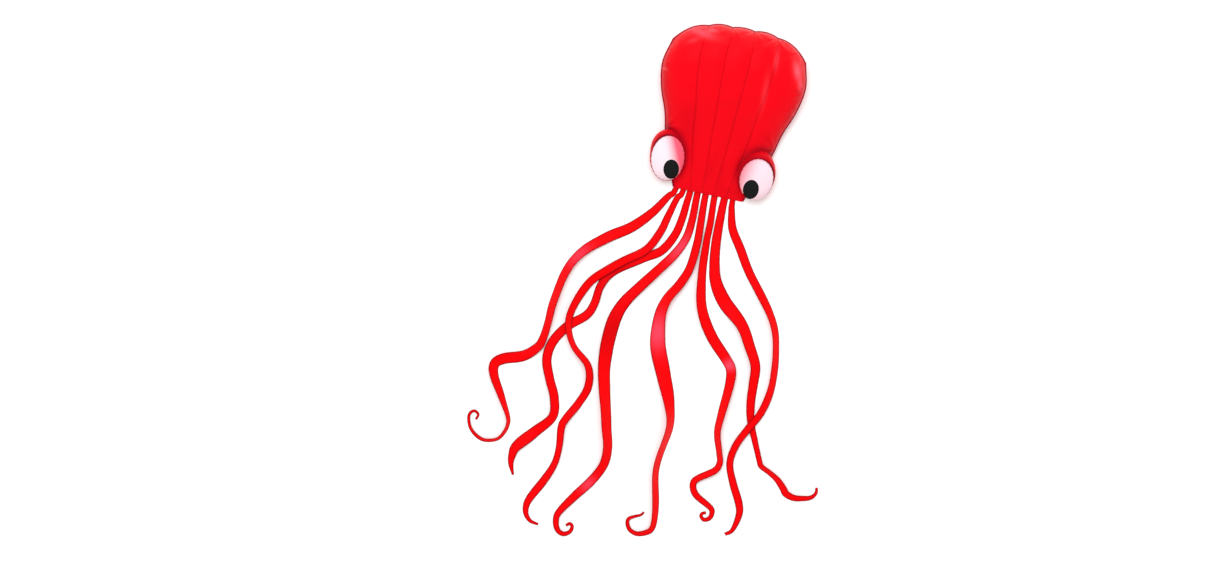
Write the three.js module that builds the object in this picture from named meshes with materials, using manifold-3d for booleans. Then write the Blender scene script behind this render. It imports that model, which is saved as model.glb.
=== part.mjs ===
// Octopus kite: a frameless kite of thin cloth that the wind fills, lying on its belly.
// Millimetres. +X runs across the head, +Y from the trailing edge to the leading edge, +Z up.
// The origin is on the belly's flat rest face; z = 0 is the surface that the kite lies on.
import * as THREE from "three";
import Module from "manifold-3d";

// ---- Driving dimensions ----
const HEAD_LENGTH = 912; // trailing edge to leading edge, on the centre line
const SHOULDER_LENGTH = 795; // trailing edge to the corner where side and front meet
const TRAILING_Y = -440;
// Half width of the head at seven even stations from the trailing edge to the shoulder.
const HALF_WIDTHS = [190, 238, 289, 321, 369, 390, 362];
const NOSE_SHIFT = 3; // the full head lies slightly twisted: its nose is this far to the right
const NOSE_TWIST = 10; // and the right end of its front is this far forward
const FRONT_FULLNESS = 3.4; // how square the front outline is: 2 is round, more is squarer
const RIB_AT = [-0.52, -0.17, 0.17, 0.52]; // ribs, as shares of the half width
const SCALLOP = 9; // how far the front outline dips at a rib

const SEAM_LOW = 4; // height of the skirt seam at the trailing edge
const SEAM_HIGH = 92; // and at the leading edge
const EDGE_CROWN = 2.5; // back above the seam at the trailing edge
const CROWN = 128; // back above the seam at its highest
const BILLOW = 15; // how far the back swells between two ribs
const RECESS = 17; // how far the belly is drawn up at a rib

const CLOTH = 2; // thickness of every sewn skin
const GAP = 0.35; // clearance between pieces that are sewn together
const TAPE_WIDTH = 7; // binding tape

const CHORD_STEPS = 14; // facets along the chord
const CELL_STEPS = 5; // facets across one cell
const INTAKE_START = 1 - 1 / CHORD_STEPS; // chord share where the air intake begins
const RIB_PLATE = 1.6;
const RIB_CLEAR = 1.8; // between a rib's edge and the skin it is sewn to
const RIB_HOLES = [
  { at: 0.4, radius: 14 },
  { at: 0.58, radius: 22 },
  { at: 0.76, radius: 26 },
];
const TAB_DROP = 4.4; // below the drawn-up seam, clear of the swelling cells beside it
const BRIDLE_ROWS = [0.42, 0.8]; // chord shares of the two rows of bridle tabs
const TAB = { length: 24, height: 7, width: 6, wall: 2 };

// The belly lies slightly twisted, so the two eyes differ a little in place, in turn (degrees), in
// the way that they face, and in where the pupil is on a unit eye.
const EYES = {
  left: { centre: [-261, -285, 66], turn: 10, facing: [0.1, -0.36, 0.93], pupil: [0.245, -0.55] },
  right: { centre: [236, -290, 66], turn: 2, facing: [0.04, -0.53, 0.85], pupil: [-0.21, -0.6] },
};
const EYE_RADII = [95, 135, 64];
const EYE_RIM = 0.29; // distance of the white's rim from the centre of a unit eye
const RIM_HALF_GAP = 0.025;
const EYE_STEPS = 24;
const BINDING_PROUD = 1.5;
const PUPIL = { across: 42, along: 51, thickness: 1.2, clear: 3 };

const RIBBON = 2; // thickness of a tentacle
const ROOT_Y = TRAILING_Y - TAPE_WIDTH / 2;
const ROOT_STRAIGHT = 32; // a tentacle leaves its seam square to it for this length
const ROOT_TURN = 0.3; // and by then it has gone this share of the way to its route
const TENTACLE_STEPS = 84;
const PUPIL_STEPS = { around: 18, outward: 3 };
const RAMP = 0.06; // length share in which a tentacle climbs over another

// Each tentacle as it lies: where its root is sewn, the route from there to its tip, how wide it is
// seen from above at even stations, how far it leans on one edge there (degrees), and the stretch
// where it lies over a neighbour.
const TENTACLES = [
  {
    root: -176,
    route: [[-210, -500], [-276, -603], [-371, -704], [-486, -785], [-597, -884], [-664, -1000],
      [-699, -1180], [-705, -1300], [-715, -1400], [-735, -1450], [-800, -1510], [-900, -1546],
      [-943, -1586], [-931, -1650], [-870, -1750], [-813, -1850], [-805, -1900], [-820, -1950],
      [-850, -1985], [-910, -2001], [-960, -1986], [-1000, -1951], [-1020, -1900], [-1015, -1870],
      [-995, -1858], [-973, -1873], [-980, -1902]],
    widths: [30, 51, 60, 49, 44, 43, 61, 44, 21, 20, 13],
    lean: [0, 0, 5, 30, 40, 30, -10, -25, -45, -30, 0],
  },
  {
    root: -135,
    route: [[-160, -500], [-186, -600], [-212, -700], [-266, -806], [-372, -891], [-448, -957],
      [-534, -1051], [-591, -1200], [-593, -1300], [-542, -1402], [-444, -1490], [-420, -1600],
      [-452, -1700], [-504, -1800], [-516, -1850], [-506, -1950], [-512, -2050], [-550, -2150],
      [-600, -2250], [-615, -2300], [-607, -2347], [-576, -2380], [-530, -2390]],
    widths: [30, 42, 45, 46, 41, 32, 43, 43, 36, 45, 13],
    lean: [0, 0, 0, -10, -30, -40, -25, 20, 15, 0, 0],
    over: { from: 0.15, to: 0.56, lift: 13 },
  },
  {
    root: -98,
    route: [[-102, -500], [-110, -600], [-131, -700], [-186, -797], [-281, -860], [-415, -958],
      [-467, -1050], [-480, -1150], [-510, -1222], [-600, -1305], [-658, -1400], [-671, -1500],
      [-634, -1600], [-587, -1700], [-575, -1800], [-648, -1896], [-732, -1996], [-747, -2050],
      [-743, -2100], [-720, -2155]],
    widths: [35, 44, 49, 50, 44, 51, 52, 49, 50, 61, 12],
    lean: [0, 0, 0, 0, 15, 0, 0, -20, -15, 10, 0],
  },
  {
    root: -57,
    route: [[-56, -500], [-55, -600], [-66, -700], [-111, -802], [-180, -902], [-250, -1001],
      [-316, -1100], [-354, -1200], [-365, -1320], [-364, -1400], [-353, -1500], [-329, -1600],
      [-301, -1700], [-275, -1800], [-248, -1900], [-250, -2000], [-298, -2100], [-369, -2200],
      [-433, -2300], [-440, -2350], [-421, -2396], [-386, -2412], [-353, -2393], [-347, -2363],
      [-363, -2350], [-381, -2365]],
    widths: [37, 44, 51, 59, 76, 68, 57, 50, 50, 35, 15],
    lean: [0, 5, 25, 12, -15, -20, -35, -35, 0, 10, 0],
  },
  {
    root: -12,
    route: [[-11, -500], [-5, -620], [-2, -720], [-12, -850], [-47, -950], [-101, -1050], [-117, -1150],
      [-96, -1300], [-33, -1450], [31, -1600], [59, -1725], [37, -1900], [39, -2000], [72, -2150],
      [83, -2240], [76, -2290], [45, -2315], [3, -2328], [-37, -2314], [-56, -2283], [-54, -2257],
      [-24, -2238], [5, -2224], [19, -2205]],
    widths: [36, 42, 47, 56, 85, 75, 43, 36, 37, 28, 12],
    lean: [0, 10, 25, 35, 0, -10, -50, -50, -40, -25, 0],
  },
  {
    root: 38,
    route: [[40, -500], [45, -600], [46, -700], [56, -850], [80, -1000], [118, -1101], [187, -1201],
      [285, -1301], [321, -1351], [330, -1430], [320, -1600], [319, -1700], [351, -1800],
      [366, -1855], [348, -1904], [271, -1962], [249, -1991], [257, -2030], [288, -2063],
      [368, -2107], [382, -2136], [374, -2164], [348, -2178], [328, -2164], [330, -2147],
      [350, -2138]],
    widths: [35, 39, 46, 56, 60, 53, 42, 33, 36, 34, 15],
    lean: [0, -15, -30, -25, -5, 25, 40, 45, 25, 0, 0],
  },
  {
    root: 93,
    route: [[92, -500], [94, -600], [99, -700], [113, -800], [142, -900], [212, -998], [325, -1097],
      [390, -1198], [445, -1300], [456, -1400], [463, -1500], [484, -1600], [528, -1700],
      [574, -1800], [592, -1829], [640, -1852], [690, -1881], [730, -1919], [755, -1947],
      [800, -1960], [845, -1954], [878, -1945], [900, -1931], [913, -1907], [910, -1880]],
    widths: [40, 50, 58, 76, 62, 55, 48, 35, 29, 38, 14],
    lean: [0, 0, 5, 0, -25, -25, -10, 0, 30, 20, 0],
  },
  {
    root: 138,
    route: [[144, -500], [171, -600], [237, -700], [300, -800], [380, -900], [459, -1000], [513, -1100],
      [542, -1220], [556, -1350], [550, -1450], [526, -1550], [475, -1650], [431, -1750],
      [421, -1850], [460, -1950], [513, -2050], [528, -2110], [510, -2200], [475, -2232]],
    widths: [30, 48, 48, 45, 38, 39, 42, 40, 38, 42, 18],
    lean: [0, 0, 0, -25, -40, -35, -20, 0, 10, 0, 0],
    over: { from: 0.58, to: 0.72, lift: 12 },
  },
];

// ---- Materials ----
const cloth = (color, roughness = 0.62) =>
  new THREE.MeshStandardMaterial({ color, roughness, metalness: 0 });
const RED = cloth(0xe60c1c);
const RIBBON_RED = cloth(0xee0612);
const DARK_RED = cloth(0x9a0a1c, 0.7);
const WHITE = cloth(0xf6eef0);
const BLACK = cloth(0x191a1c, 0.55);
const MESH_RED = cloth(0xa81020, 0.85);

// ---- Numbers ----
const clamp01 = (x) => Math.min(1, Math.max(0, x));
const smooth = (x) => clamp01(x) ** 2 * (3 - 2 * clamp01(x));
const mix = (a, b, share) => a + (b - a) * share;

// A smooth line through values at even stations, read at a share from 0 to 1.
function along(values, share) {
  const place = clamp01(share) * (values.length - 1);
  const i = Math.min(Math.floor(place), values.length - 2);
  const t = place - i;
  const before = i > 0 ? values[i - 1] : 2 * values[0] - values[1];
  const after = i + 2 < values.length ? values[i + 2] : 2 * values[i + 1] - values[i];
  const slopeIn = (values[i + 1] - before) / 2;
  const slopeOut = (after - values[i]) / 2;
  const rise = values[i] - values[i + 1];
  return values[i] + slopeIn * t - (3 * rise + 2 * slopeIn + slopeOut) * t ** 2 +
    (2 * rise + slopeIn + slopeOut) * t ** 3;
}

// ---- Closed cloth from two layers ----
// outer and inner give a point for shares u and v; the result is the closed wall between them.
function wallBetween(outer, inner, uSteps, vSteps) {
  const row = vSteps + 1;
  const layer = (uSteps + 1) * row;
  const points = [];
  for (const side of [outer, inner]) {
    for (let i = 0; i <= uSteps; i++) {
      for (let j = 0; j <= vSteps; j++) points.push(...side(i / uSteps, j / vSteps));
    }
  }
  const faces = [];
  const quad = (a, b, c, d) => faces.push(a, b, c, a, c, d);
  for (let i = 0; i < uSteps; i++) {
    for (let j = 0; j < vSteps; j++) {
      const a = i * row + j;
      quad(a, a + row, a + row + 1, a + 1);
      quad(layer + a, layer + a + 1, layer + a + row + 1, layer + a + row);
    }
    const low = i * row;
    const high = i * row + vSteps;
    quad(low, layer + low, layer + low + row, low + row);
    quad(high, high + row, layer + high + row, layer + high);
  }
  for (let j = 0; j < vSteps; j++) {
    const far = uSteps * row + j;
    quad(j, j + 1, layer + j + 1, layer + j);
    quad(far, layer + far, layer + far + 1, far + 1);
  }
  return geometryOf(points, faces);
}

function geometryOf(points, faces) {
  const geometry = new THREE.BufferGeometry();
  geometry.setAttribute("position", new THREE.Float32BufferAttribute(points, 3));
  geometry.setIndex(faces);
  return geometry;
}

// ---- Cutting ----
const wasm = await Module();
wasm.setup();

function solidOf(geometry) {
  const vertProperties = new Float32Array(geometry.getAttribute("position").array);
  const triVerts = new Uint32Array(geometry.index.array);
  return new wasm.Manifold(new wasm.Mesh({ numProp: 3, vertProperties, triVerts }));
}

function cut(geometry, tools) {
  let solid = solidOf(geometry);
  for (const tool of tools) solid = solid.subtract(solidOf(tool));
  const mesh = solid.getMesh();
  return geometryOf(mesh.vertProperties, Array.from(mesh.triVerts));
}

// ---- The head's shape ----
// q is the place across, -1 to 1; t is the place along the chord, 0 at the trailing edge.
const CELL_EDGES = [-1, ...RIB_AT, 1];

// Place across one cell: -1 at its left edge, 1 at its right edge.
function placeInCell(q) {
  const right = CELL_EDGES.findIndex((edge, i) => i > 0 && (q <= edge || i === CELL_EDGES.length - 1));
  const left = CELL_EDGES[right - 1];
  return (2 * (q - left)) / (CELL_EDGES[right] - left) - 1;
}

const halfWidth = (t) => along(HALF_WIDTHS, t);

function plan(q, t, inset = 0) {
  const swell = SCALLOP * (1 - placeInCell(q) ** 2);
  const corner = (HEAD_LENGTH - SHOULDER_LENGTH) * Math.abs(q) ** FRONT_FULLNESS;
  const chord = HEAD_LENGTH - SCALLOP - corner + swell - inset;
  return [q * (halfWidth(t) - inset) + NOSE_SHIFT * t, TRAILING_Y + t * (chord + NOSE_TWIST * q)];
}

const seamHeight = (t) => SEAM_LOW + (SEAM_HIGH - SEAM_LOW) * Math.sin((Math.PI / 2) * t) ** 2;
const noseRound = (t) => Math.sqrt(Math.max(0, 1 - t ** 6));
const crown = (t) => EDGE_CROWN * noseRound(t) + (CROWN / 0.71) * t ** 0.8 * noseRound(t);

// Height of the back above the skirt seam.
function backRise(q, t) {
  const across = Math.sqrt(Math.max(0, 1 - Math.abs(q) ** 2.4));
  const swell = BILLOW * (1 - placeInCell(q) ** 2) * noseRound(t) * smooth(t / 0.3);
  return crown(t) * across + swell;
}

// Depth of the belly below the skirt seam.
function bellyDrop(q, t) {
  const fullness = Math.sqrt(Math.max(0, 1 - q ** 4)) * Math.sqrt(Math.max(0, 1 - t ** 8));
  const place = placeInCell(q);
  const outerCell = Math.abs(q) > RIB_AT[3];
  const nearRib = outerCell ? Math.min(0, Math.sign(q) * place) ** 2 : place ** 2;
  const drawnUp = RECESS * (2 * nearRib - 1) * smooth(t / 0.25) * fullness;
  const height = seamHeight(t) * (1 - fullness) + drawnUp;
  return seamHeight(t) - Math.max(0, height);
}

// Share of a layer's height that is left inside a skin of cloth.
const insideShare = (height) => Math.max(0.2, 1 - CLOTH / Math.max(height, 0.1));

const backOuter = (q, t) => [...plan(q, t), seamHeight(t) + GAP / 2 + backRise(q, t)];
const backInner = (q, t) =>
  [...plan(q, t, CLOTH), seamHeight(t) + GAP / 2 + backRise(q, t) * insideShare(crown(t))];
const bellyOuter = (q, t) =>
  [...plan(q, t), Math.max(0, seamHeight(t) - bellyDrop(q, t) - GAP / 2)];
const bellyInner = (q, t) => {
  const share = insideShare(seamHeight(t));
  return [...plan(q, t, CLOTH), seamHeight(t) - GAP / 2 - bellyDrop(q, t) * share];
};

// A skin of the head between two places across and two along.
function headSkin(outer, inner, [left, right], [rear, front], acrossSteps, alongSteps, facesUp) {
  const sideGap = GAP / 2 / halfWidth(0.5);
  const low = left > -1 ? left + sideGap : left;
  const high = right < 1 ? right - sideGap : right;
  const at = (layer) => (u, v) => layer(mix(low, high, u), mix(rear, front, v));
  return facesUp
    ? wallBetween(at(outer), at(inner), acrossSteps, alongSteps)
    : wallBetween(at(inner), at(outer), acrossSteps, alongSteps);
}

// ---- Eyes ----
const eyeTurn = (eye) => THREE.MathUtils.degToRad(eye.turn);

// A place on an eye, stretched from a unit ball, with extra added to the eye's radii.
function onEye(eye, x, y, z, extra) {
  const turn = eyeTurn(eye);
  const across = x * (EYE_RADII[0] + extra);
  const up = y * (EYE_RADII[1] + extra);
  return [
    eye.centre[0] + across * Math.cos(turn) - up * Math.sin(turn),
    eye.centre[1] + across * Math.sin(turn) + up * Math.cos(turn),
    eye.centre[2] + z * (EYE_RADII[2] + extra),
  ];
}

// A unit eye has its own axis, the way it looks; shares turn about it and go out from it.
function eyePoint(eye, level, turn, extra) {
  const facing = new THREE.Vector3(...eye.facing).normalize();
  const sideways = new THREE.Vector3(1, 0, 0).projectOnPlane(facing).normalize();
  const upward = new THREE.Vector3().crossVectors(facing, sideways);
  const radius = Math.sqrt(Math.max(0, 1 - level ** 2));
  const unit = facing.multiplyScalar(level)
    .addScaledVector(sideways, radius * Math.cos(turn))
    .addScaledVector(upward, radius * Math.sin(turn));
  return onEye(eye, unit.x, unit.y, unit.z, extra);
}

// A closed bowl of cloth over the eye, from a pole (level 1 or -1) to a rim.
function eyeBowl(eye, pole, rim, steps, rings, innerExtra, outerExtra) {
  const points = [];
  const faces = [];
  const start = Math.acos(pole);
  const end = Math.acos(rim);
  for (const extra of [outerExtra, innerExtra]) {
    points.push(...eyePoint(eye, pole, 0, extra));
    for (let r = 1; r <= rings; r++) {
      const level = Math.cos(mix(start, end, r / rings));
      for (let k = 0; k < steps; k++) {
        points.push(...eyePoint(eye, level, (2 * Math.PI * k) / steps, extra));
      }
    }
  }
  const layer = 1 + rings * steps;
  const at = (base, ring, k) => base + 1 + (ring - 1) * steps + (k % steps);
  const add = (a, b, c) => (pole > 0 ? faces.push(a, b, c) : faces.push(a, c, b));
  for (let k = 0; k < steps; k++) {
    add(0, at(0, 1, k), at(0, 1, k + 1));
    add(layer, at(layer, 1, k + 1), at(layer, 1, k));
    for (let r = 1; r < rings; r++) {
      add(at(0, r, k), at(0, r + 1, k), at(0, r + 1, k + 1));
      add(at(0, r, k), at(0, r + 1, k + 1), at(0, r, k + 1));
      add(at(layer, r, k), at(layer, r + 1, k + 1), at(layer, r + 1, k));
      add(at(layer, r, k), at(layer, r, k + 1), at(layer, r + 1, k + 1));
    }
    add(at(0, rings, k), at(layer, rings, k), at(layer, rings, k + 1));
    add(at(0, rings, k), at(layer, rings, k + 1), at(0, rings, k + 1));
  }
  return geometryOf(points, faces);
}

// The tape round the rim of the white, square in section.
function eyeBinding(eye, steps) {
  const half = RIM_HALF_GAP * 0.7;
  const corners = [
    [half, -BINDING_PROUD], [half, BINDING_PROUD], [-half, BINDING_PROUD], [-half, -BINDING_PROUD],
  ];
  const points = [];
  const faces = [];
  for (let k = 0; k < steps; k++) {
    for (const [rise, extra] of corners) {
      points.push(...eyePoint(eye, EYE_RIM + rise, (2 * Math.PI * k) / steps, extra));
    }
  }
  for (let k = 0; k < steps; k++) {
    for (let c = 0; c < 4; c++) {
      const here = k * 4;
      const next = ((k + 1) % steps) * 4;
      const d = (c + 1) % 4;
      faces.push(here + c, here + d, next + d, here + c, next + d, next + c);
    }
  }
  return geometryOf(points, faces);
}

// A round patch of cloth on the white, its outline an ellipse seen from above.
function pupilPatch(eye, steps, rings) {
  const layerPoint = (share, turn, extra) => {
    const x = eye.pupil[0] + (share * PUPIL.across * Math.cos(turn)) / EYE_RADII[0];
    const y = eye.pupil[1] + (share * PUPIL.along * Math.sin(turn)) / EYE_RADII[1];
    const z = Math.sqrt(Math.max(0.02, 1 - x * x - y * y));
    return onEye(eye, x, y, z, extra);
  };
  const points = [];
  const faces = [];
  for (const extra of [PUPIL.clear + PUPIL.thickness, PUPIL.clear]) {
    points.push(...layerPoint(0, 0, extra));
    for (let r = 1; r <= rings; r++) {
      for (let k = 0; k < steps; k++) points.push(...layerPoint(r / rings, (2 * Math.PI * k) / steps, extra));
    }
  }
  const layer = 1 + rings * steps;
  const at = (base, ring, k) => base + 1 + (ring - 1) * steps + (k % steps);
  for (let k = 0; k < steps; k++) {
    faces.push(0, at(0, 1, k), at(0, 1, k + 1), layer, at(layer, 1, k + 1), at(layer, 1, k));
    for (let r = 1; r < rings; r++) {
      faces.push(at(0, r, k), at(0, r + 1, k), at(0, r + 1, k + 1));
      faces.push(at(0, r, k), at(0, r + 1, k + 1), at(0, r, k + 1));
      faces.push(at(layer, r, k), at(layer, r + 1, k + 1), at(layer, r + 1, k));
      faces.push(at(layer, r, k), at(layer, r, k + 1), at(layer, r + 1, k + 1));
    }
    faces.push(at(0, rings, k), at(layer, rings, k), at(layer, rings, k + 1));
    faces.push(at(0, rings, k), at(layer, rings, k + 1), at(0, rings, k + 1));
  }
  return geometryOf(points, faces);
}

// The room that an eye needs in the skins round it.
function eyeRoom(eye) {
  const room = new THREE.SphereGeometry(1, 28, 16);
  room.scale(...EYE_RADII.map((radius) => radius + BINDING_PROUD + 1));
  room.rotateZ(eyeTurn(eye));
  room.translate(...eye.centre);
  return mergedSphere(room, 28, 16);
}

// A three.js sphere has a doubled seam and doubled poles: this joins them.
function mergedSphere(sphere, around, down) {
  const position = sphere.getAttribute("position");
  const points = [];
  const keep = (i) => points.push(position.getX(i), position.getY(i), position.getZ(i));
  keep(0);
  for (let r = 1; r < down; r++) for (let k = 0; k < around; k++) keep(r * (around + 1) + k);
  keep(down * (around + 1));
  const last = points.length / 3 - 1;
  const at = (ring, k) => 1 + (ring - 1) * around + (k % around);
  const faces = [];
  for (let k = 0; k < around; k++) {
    faces.push(0, at(1, k), at(1, k + 1), last, at(down - 1, k + 1), at(down - 1, k));
    for (let r = 1; r < down - 1; r++) {
      faces.push(at(r, k), at(r + 1, k), at(r + 1, k + 1), at(r, k), at(r + 1, k + 1), at(r, k + 1));
    }
  }
  return geometryOf(points, faces);
}

// ---- Ribs ----
function rib(q) {
  const half = RIB_PLATE / 2;
  const side = (sign) => (u, v) => {
    const t = mix(1 / CHORD_STEPS, INTAKE_START, u);
    const low = bellyInner(q, t);
    const high = backInner(q, t);
    return [low[0] + sign * half, low[1], mix(low[2] + RIB_CLEAR, high[2] - RIB_CLEAR, v)];
  };
  const plate = wallBetween(side(1), side(-1), CHORD_STEPS - 2, 1);
  const holes = RIB_HOLES.map(({ at, radius }) => {
    const low = bellyInner(q, at);
    const high = backInner(q, at);
    const hole = new THREE.CylinderGeometry(radius, radius, 60, 14, 1);
    hole.rotateZ(Math.PI / 2).translate(low[0], low[1], (low[2] + high[2]) / 2);
    return closedCylinder(hole, 14);
  });
  return cut(plate, holes);
}

// A three.js cylinder's rim points are doubled: this keeps one ring at each end and two centres.
function closedCylinder(cylinder, around) {
  const position = cylinder.getAttribute("position");
  const points = [];
  const keep = (i) => points.push(position.getX(i), position.getY(i), position.getZ(i));
  for (let ring = 0; ring < 2; ring++) for (let k = 0; k < around; k++) keep(ring * (around + 1) + k);
  const faces = [];
  for (let k = 0; k < around; k++) {
    const next = (k + 1) % around;
    faces.push(k, around + k, around + next, k, around + next, next);
    if (k > 0 && k < around - 1) {
      faces.push(0, k, k + 1, around, around + k + 1, around + k);
    }
  }
  return geometryOf(points, faces);
}

// ---- Tapes and tabs ----
const TAPE_GAP = 1.2 / HEAD_LENGTH;
const BINDING_SPAN = [INTAKE_START + TAPE_GAP, INTAKE_START + TAPE_GAP + TAPE_WIDTH / HEAD_LENGTH];

// The tape along the rear edge of the intake, over the three middle cells.
function intakeBinding() {
  const cells = RIB_AT.length - 1;
  const at = (layer) => (u, v) => {
    const cell = Math.min(Math.floor(u * cells + 1e-9), cells - 1);
    const q = mix(RIB_AT[cell], RIB_AT[cell + 1], u * cells - cell);
    return layer(q, mix(BINDING_SPAN[0], BINDING_SPAN[1], v));
  };
  return wallBetween(at(bellyInner), at(bellyOuter), cells * CELL_STEPS, 1);
}

function trailingTape() {
  const half = HALF_WIDTHS[0];
  const tape = new THREE.BoxGeometry(2 * half, CLOTH, SEAM_LOW + EDGE_CROWN);
  tape.translate(0, TRAILING_Y - CLOTH / 2 - GAP, (SEAM_LOW + EDGE_CROWN) / 2);
  return tape;
}

// A loop of webbing, seen from the side as a flat oval with a slot.
function bridleTab(q, t) {
  const oval = (path, half, rise) => {
    path.moveTo(-half + rise, -rise);
    path.lineTo(half - rise, -rise);
    path.absarc(half - rise, 0, rise, -Math.PI / 2, Math.PI / 2, false);
    path.lineTo(-half + rise, rise);
    path.absarc(-half + rise, 0, rise, Math.PI / 2, (3 * Math.PI) / 2, false);
    return path;
  };
  const outline = oval(new THREE.Shape(), TAB.length / 2, TAB.height / 2);
  outline.holes.push(oval(new THREE.Path(), TAB.length / 2 - TAB.wall, TAB.height / 2 - TAB.wall));
  const tab = new THREE.ExtrudeGeometry(outline, { depth: TAB.width, bevelEnabled: false, curveSegments: 4 });
  tab.translate(0, 0, -TAB.width / 2);
  tab.rotateX(Math.PI / 2).rotateZ(Math.PI / 2);
  const [x, y, z] = bellyOuter(q, t);
  tab.translate(x, y, z - TAB.height / 2 - TAB_DROP);
  return tab;
}

// ---- Tentacles ----
function tentacle(index, steps) {
  const { root, route, widths, lean, over } = TENTACLES[index];
  const stations = [[root, ROOT_Y], [mix(root, route[0][0], ROOT_TURN), ROOT_Y - ROOT_STRAIGHT], ...route];
  const curve = new THREE.CatmullRomCurve3(
    stations.map(([x, y]) => new THREE.Vector3(x, y, 0)), false, "catmullrom", 0.5);
  curve.arcLengthDivisions = 600;
  const corner = (share, across, face) => {
    const centre = curve.getPointAt(share);
    const ahead = share < 1e-6 ? new THREE.Vector3(0, -1, 0) : curve.getTangentAt(share);
    const sideways = new THREE.Vector3(-ahead.y, ahead.x, 0).normalize();
    const angle = THREE.MathUtils.degToRad(along(lean, share));
    const width = along(widths, share) / Math.cos(angle);
    const rest = (width / 2) * Math.abs(Math.sin(angle)) + (RIBBON / 2) * Math.cos(angle);
    const climb = over ? smooth((share - over.from) / RAMP + 1) * smooth((over.to - share) / RAMP + 1) : 0;
    const lift = over ? over.lift * climb : 0;
    const acrossway = sideways.clone().multiplyScalar(Math.cos(angle)).setZ(Math.sin(angle));
    const upway = sideways.clone().multiplyScalar(-Math.sin(angle)).setZ(Math.cos(angle));
    const point = centre.clone().setZ(rest + lift)
      .addScaledVector(acrossway, (across * width) / 2)
      .addScaledVector(upway, (face * RIBBON) / 2);
    return point.toArray();
  };
  return wallBetween(
    (u, v) => corner(u, 2 * v - 1, 1),
    (u, v) => corner(u, 2 * v - 1, -1), steps, 1);
}

// ---- Assembly ----
const kite = new THREE.Group();
const add = (name, geometry, material) => {
  const mesh = new THREE.Mesh(geometry, material);
  mesh.name = name;
  kite.add(mesh);
};

const CELLS = ["left_outer", "left_inner", "centre", "right_inner", "right_outer"];
const eyeRooms = [eyeRoom(EYES.left), eyeRoom(EYES.right)];

CELLS.forEach((cell, i) => {
  const span = [CELL_EDGES[i], CELL_EDGES[i + 1]];
  const outer = i === 0 || i === CELLS.length - 1;
  const reach = outer ? [0, 1] : [0, INTAKE_START];
  const bellySteps = outer ? CHORD_STEPS : CHORD_STEPS - 1;
  const back = headSkin(backOuter, backInner, span, [0, 1], CELL_STEPS, CHORD_STEPS, true);
  const belly = headSkin(bellyOuter, bellyInner, span, reach, CELL_STEPS, bellySteps, false);
  const room = outer ? [eyeRooms[i === 0 ? 0 : 1]] : [];
  add(`back_panel_${cell}`, outer ? cut(back, room) : back, RED);
  add(`belly_panel_${cell}`, outer ? cut(belly, room) : belly, RED);
  if (!outer) {
    const reach = [BINDING_SPAN[1] + TAPE_GAP, 1];
    const screen = headSkin(bellyOuter, bellyInner, span, reach, CELL_STEPS, 4, false);
    add(`intake_mesh_${cell}`, screen, MESH_RED);
  }
});

add("intake_binding", intakeBinding(), DARK_RED);

RIB_AT.forEach((q, i) => add(`rib_${i + 1}`, rib(q), RED));
RIB_AT.forEach((q, i) => BRIDLE_ROWS.forEach((t, row) =>
  add(`bridle_tab_${row ? "front" : "rear"}_${i + 1}`, bridleTab(q, t), BLACK)));
add("trailing_edge_tape", trailingTape(), DARK_RED);

for (const [name, eye] of Object.entries(EYES)) {
  add(`eye_pod_${name}`, eyeBowl(eye, -1, EYE_RIM - RIM_HALF_GAP, EYE_STEPS, 6, -CLOTH, 0), RED);
  add(`eye_white_${name}`, eyeBowl(eye, 1, EYE_RIM + RIM_HALF_GAP, EYE_STEPS, 4, -CLOTH, 0), WHITE);
  add(`eye_binding_${name}`, eyeBinding(eye, EYE_STEPS), DARK_RED);
  add(`pupil_${name}`, pupilPatch(eye, PUPIL_STEPS.around, PUPIL_STEPS.outward), BLACK);
}

TENTACLES.forEach((_, i) => add(`tentacle_${i + 1}`, tentacle(i, TENTACLE_STEPS), RIBBON_RED));

export default kite;
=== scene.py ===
# %% [markdown]
# # An octopus kite, sewn from thin cloth
#
# This kite has no sticks. The wind fills its head through a net-covered mouth under the nose, while
# eight long ribbons stream out behind. Here it lies on its belly on a pale floor, still full of air,
# with its tentacles spread out as they fell.
#
# A surface below is a grid of two shares, one across the cloth and one along it, and a formula turns
# the whole grid into points at once. The few lists of places and widths are given one by one. The
# units are metres: X runs across the head, Y runs from the tentacles towards the nose, and Z is up.

import math

import bpy
import numpy as np
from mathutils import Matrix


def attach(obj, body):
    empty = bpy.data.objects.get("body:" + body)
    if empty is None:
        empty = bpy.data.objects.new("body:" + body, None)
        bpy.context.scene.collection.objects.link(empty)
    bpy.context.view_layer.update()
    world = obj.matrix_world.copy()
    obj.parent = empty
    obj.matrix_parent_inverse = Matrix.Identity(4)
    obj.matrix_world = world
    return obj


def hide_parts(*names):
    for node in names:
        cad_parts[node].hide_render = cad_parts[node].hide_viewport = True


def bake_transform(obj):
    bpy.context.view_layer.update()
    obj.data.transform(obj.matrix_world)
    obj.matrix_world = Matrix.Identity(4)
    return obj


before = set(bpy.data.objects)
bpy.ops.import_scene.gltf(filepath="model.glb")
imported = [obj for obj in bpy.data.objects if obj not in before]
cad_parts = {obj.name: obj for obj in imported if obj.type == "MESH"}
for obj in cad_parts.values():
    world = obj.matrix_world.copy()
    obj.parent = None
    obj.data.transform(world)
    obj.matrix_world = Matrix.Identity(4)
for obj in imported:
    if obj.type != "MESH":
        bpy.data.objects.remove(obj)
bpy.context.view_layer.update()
scene = bpy.context.scene

# %% [markdown]
# ## Camera, light and floor
#
# The camera looks straight down from high above, turned a little so that the kite leans to the
# right. A long lens from far away keeps the outline true. The floor is almost white, and a bright
# even sky with one soft lamp keeps it free of hard shadows. A strong lamp alone would draw a dark
# edge round every ribbon; a sky alone would leave the head looking flat, so there is some of both.

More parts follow.
